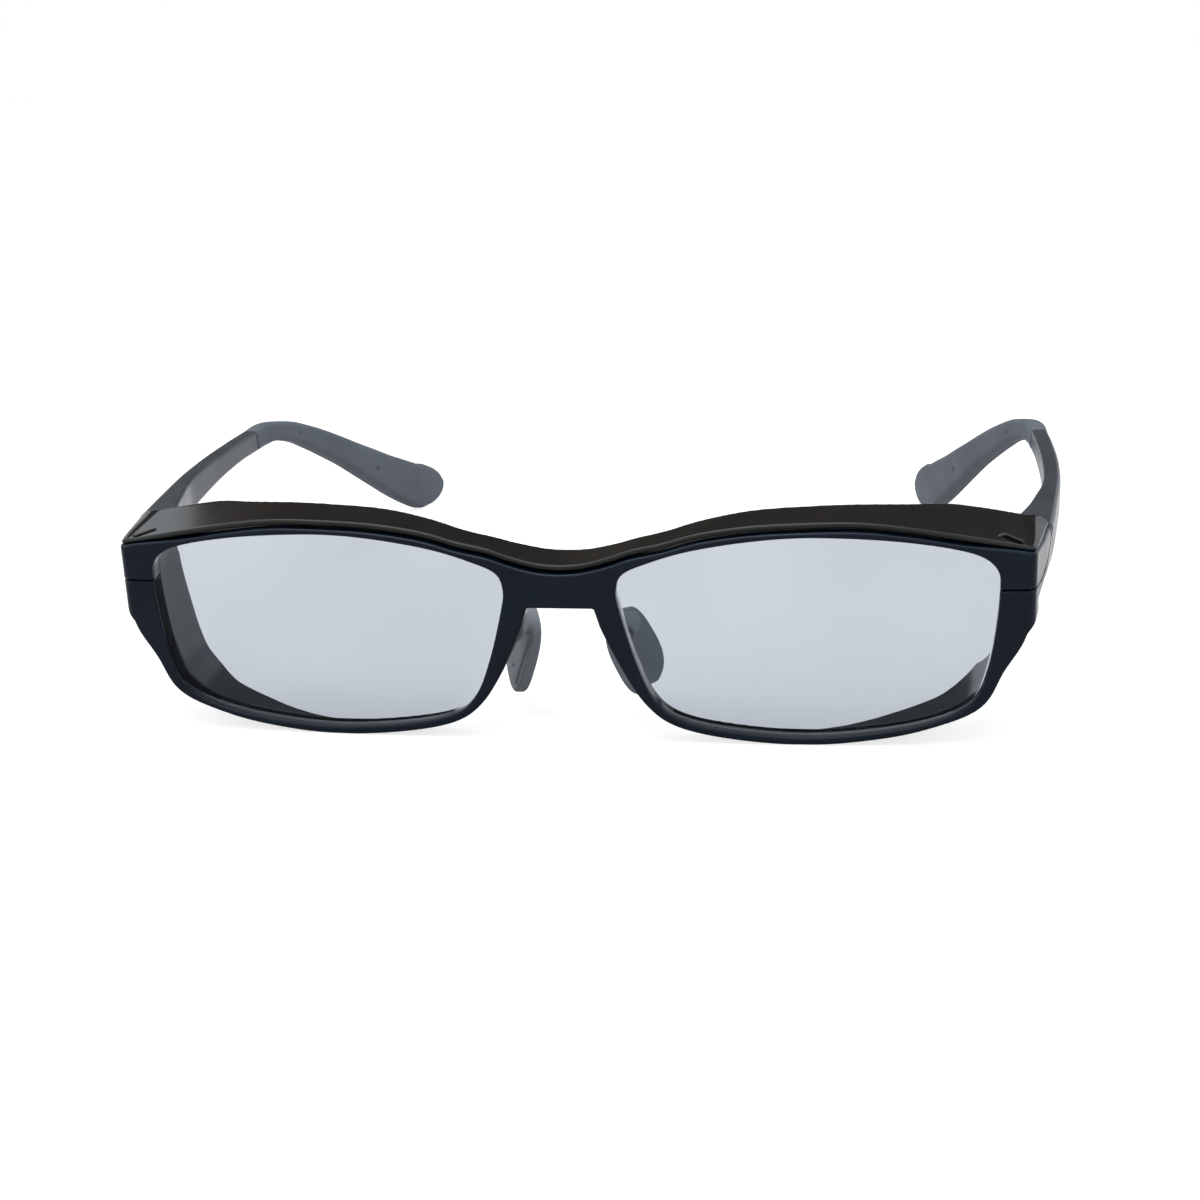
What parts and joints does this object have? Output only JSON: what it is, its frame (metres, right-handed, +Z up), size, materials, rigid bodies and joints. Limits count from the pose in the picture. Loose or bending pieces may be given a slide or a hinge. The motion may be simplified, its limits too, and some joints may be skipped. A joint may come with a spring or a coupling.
{
  "type": "goggles",
  "caption": "Anti-pollen goggles worn like spectacles, with full rims, a brow visor, side and lower shields, soft nose pads and folding temples.",
  "frame": {"origin": "on the table plane, midway between the two sides and midway between the front and the ends of the temple tips", "axes": "+X to the right seen from the front, +Y from the front back towards the wearer's ears, +Z up from the table"},
  "size_m": [0.1552, 0.14, 0.0357],
  "materials": {
    "frame_plastic": "gloss navy black",
    "smoke_plastic": "gloss smoke brown black",
    "lens_clear": "clear polycarbonate with a pale blue tint",
    "tip_rubber": "matte grey rubber",
    "pad_rubber": "satin grey elastomer",
    "metal": "nickel plated"
  },
  "bodies": {
    "front": {"front_frame": "frame_plastic", "hood": "smoke_plastic", "lens_left": "lens_clear", "lens_right": "lens_clear", "rim_screw_left": "metal", "rim_screw_right": "metal", "nose_pad_left": "pad_rubber", "nose_pad_right": "pad_rubber", "hinge_front_left": "metal", "hinge_front_right": "metal", "hinge_rivets_front": "metal", "hinge_screw_left": "metal", "hinge_screw_right": "metal"},
    "temple_left_arm": {"hinge_temple_left": "metal", "hinge_rivets_left": "metal", "temple_left": "frame_plastic", "core_left": "metal", "temple_tip_left": "tip_rubber"},
    "temple_right_arm": {"hinge_temple_right": "metal", "hinge_rivets_right": "metal", "temple_right": "frame_plastic", "core_right": "metal", "temple_tip_right": "tip_rubber"}
  },
  "joints": [
    {"name": "temple_left_fold", "type": "hinge", "parent": "front", "child": "temple_left_arm", "pos_m": [-0.068, -0.0527, 0.0279], "axis": [0, 0, -1], "range_deg": [0, 83]},
    {"name": "temple_right_fold", "type": "hinge", "parent": "front", "child": "temple_right_arm", "pos_m": [0.068, -0.0527, 0.0279], "axis": [0, 0, 1], "range_deg": [0, 77]}
  ]
}
